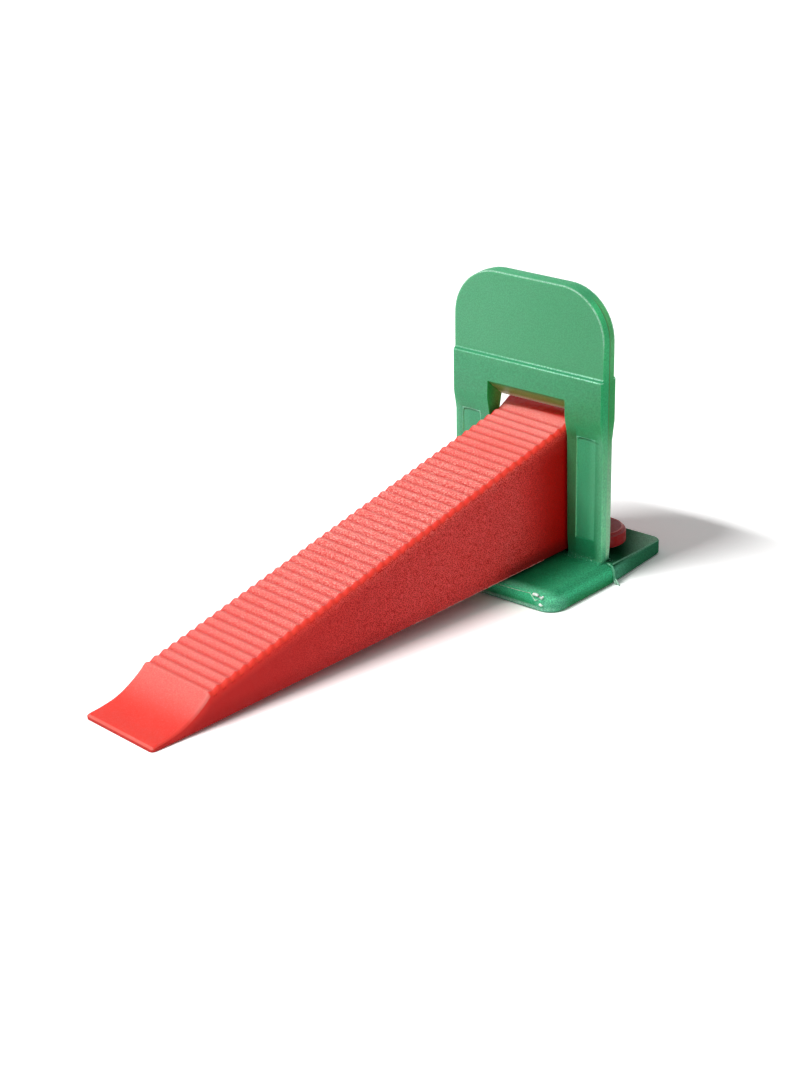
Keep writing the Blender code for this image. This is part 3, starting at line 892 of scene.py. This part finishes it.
# Flash along the wedge's lower right edge, in the wedge's own directions
EDGE_FLASH_START = 52.0
EDGE_FLASH_LENGTH = 30.0
EDGE_FLASH_STEPS = 44
EDGE_FLASH_ROOT = (7.7, 0.05)
EDGE_FLASH_RIM = 7.75
EDGE_FLASH_OUT = 0.05
EDGE_FLASH_UNEVEN = 0.06
EDGE_FLASH_DROOP = 0.3
EDGE_FLASH_THICK = 0.08

# Ragged corner of its lip: root and rim of each station
LIP_TIP = (
    ((-7.2, 0.45, 0.34), (-7.1, 0.25, 0.34)),
    ((-7.55, 0.5, 0.3), (-7.5, 0.28, 0.28)),
    ((-7.85, 0.45, 0.22), (-7.85, 0.32, 0.2)))
LIP_TIP_THICK = 0.2


# Flash
def on_wedge(v, u, n):
    """Place of a point given in the wedge's own directions."""
    tilt = Matrix.Rotation(WEDGE_TILT, 3, "X")
    yaw = Matrix.Rotation(WEDGE_YAW, 3, "Z")
    return Vector(WEDGE_TIP) + yaw @ tilt @ Vector((v, u, n))


def ragged(i, size):
    """Repeatable unevenness between 0 and size."""
    return size * (0.5 + 0.5 * sin(i * 2.4 + 0.7) * cos(i * 1.1))


def neighbours(points, i):
    """Direction from the point before to the point after."""
    return points[min(i + 1, len(points) - 1)] - points[max(i - 1, 0)]


def closed_piece(name, bm, rings, material, body):
    """Skins and caps a row of rings and adds it as a piece that rides on a body."""
    turns = len(rings[0])
    for near, far in zip(rings, rings[1:]):
        for i in range(turns):
            j = (i + 1) % turns
            bm.faces.new((near[i], near[j], far[j], far[i]))
    bm.faces.new(rings[0])
    bm.faces.new(rings[-1])
    bmesh.ops.recalc_face_normals(bm, faces=bm.faces)
    for face in bm.faces:
        face.smooth = True
    mesh = bpy.data.meshes.new(name)
    bm.to_mesh(mesh)
    bm.free()
    piece = bpy.data.objects.new(name, mesh)
    bpy.context.scene.collection.objects.link(piece)
    mesh.materials.append(material)
    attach(piece, body)


def fin(name, stations, thick, material, body):
    """Thin closed skin between root and rim points, sharper at the rim."""
    roots = [Vector(root) for root, rim in stations]
    rims = [Vector(rim) for root, rim in stations]
    bm = bmesh.new()
    rings = []
    for i, (root, rim) in enumerate(zip(roots, rims)):
        side = neighbours(roots, i).cross(rim - root).normalized() * thick / 2
        middle = root.lerp(rim, 0.6) + side * 0.3
        points = (root - side, middle - side * 0.9, rim - side * 0.3,
                  rim + side * 0.3, middle + side * 0.9, root + side)
        rings.append([bm.verts.new(point * MM) for point in points])
    closed_piece(name, bm, rings, material, body)


def strand(name, path, material, body):
    """Smooth closed string of plastic along a path of (place, radius) in millimetres."""
    places = [Vector(place) for place, radius in path]
    radii = [radius for place, radius in path]
    bm = bmesh.new()
    rings = []
    for i, (place, radius) in enumerate(zip(places, radii)):
        along = neighbours(places, i).normalized()
        first = along.orthogonal().normalized()
        second = along.cross(first)
        ring = []
        for k in range(STRAND_SIDES):
            angle = 2 * pi * k / STRAND_SIDES
            out = (first * cos(angle) + second * sin(angle)) * radius
            ring.append(bm.verts.new((place + out) * MM))
        rings.append(ring)
    closed_piece(name, bm, rings, material, body)


def seam_station(i):
    """Root and rim of the plate's front seam at one of its steps."""
    share = i / SEAM_STEPS
    x = SEAM_START + SEAM_LENGTH * share
    risen = SEAM_RISE * max(share - SEAM_RISES_FROM, 0.0) / (1.0 - SEAM_RISES_FROM)
    z = SEAM_HEIGHT + risen + ragged(i, SEAM_UNEVEN_UP)
    rim = SEAM_RIM - ragged(i + SEAM_SHIFT, SEAM_UNEVEN_OUT)
    return (x, SEAM_ROOT, z), (x, rim, z + SEAM_LIFT)


def edge_station(i):
    """Root and rim of the flash on the wedge's lower edge at one of its steps."""
    u = EDGE_FLASH_START + EDGE_FLASH_LENGTH * i / EDGE_FLASH_STEPS
    out = EDGE_FLASH_OUT + ragged(i, EDGE_FLASH_UNEVEN)
    root_side, root_height = EDGE_FLASH_ROOT
    return (on_wedge(root_side, u, root_height),
            on_wedge(EDGE_FLASH_RIM + out, u, -EDGE_FLASH_DROOP * out))


def add_clip_flash():
    skin = clip_skin("flash_look", (0.22, 0.60, 0.38), (0.50, 0.84, 0.64))
    deep = clip_skin("deep_flash_look", (0.045, 0.30, 0.15), (0.10, 0.42, 0.24))
    # the nick's torn bits are painted near-white, as highlights on their glossy facets
    white = clip_skin("nick_highlight_look", (0.72, 0.93, 0.82), (0.95, 1.0, 0.97))
    stations = [((x, 0.0, z), (rim_x, PLATE_FLASH_WAVE * sin(i * 2.0), rim_z))
                for i, ((x, z), (rim_x, rim_z)) in enumerate(PLATE_FLASH)]
    fin("plate_flash", stations, PLATE_FLASH_THICK, deep, "clip")
    for name, path in BURRS.items():
        strand(name, path, skin, "clip")
    seam = [seam_station(i) for i in range(SEAM_STEPS + 1)]
    fin("front_flash", seam, SEAM_THICK, skin, "clip")
    strand("nick_curl", NICK_CURL, white, "clip")
    strand("nick_bead", NICK_BEAD, white, "clip")
    strand("nick_tab", NICK_TAB, skin, "clip")
    strand("nick_low", NICK_LOW, white, "clip")


def add_wedge_flash():
    skin = wedge_skin("wedge_flash_look", (0.85, 0.10, 0.08), (0.95, 0.42, 0.36))
    edge = [edge_station(i) for i in range(EDGE_FLASH_STEPS + 1)]
    fin("wedge_edge_flash", edge, EDGE_FLASH_THICK, skin, "wedge")
    tip = [(on_wedge(*root), on_wedge(*rim)) for root, rim in LIP_TIP]
    fin("lip_tip", tip, LIP_TIP_THICK, skin, "wedge")


make_camera()
make_floor()
make_world()
make_key()
soft = smooth_group()
soften(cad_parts["clip"], CLIP_EDGE, soft)
soften(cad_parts["wedge"], WEDGE_EDGE, soft)
dress("clip", clip_look())
dress("wedge", wedge_look())
add_clip_flash()
add_wedge_flash()
bpy.context.scene.view_settings.view_transform = "Standard"
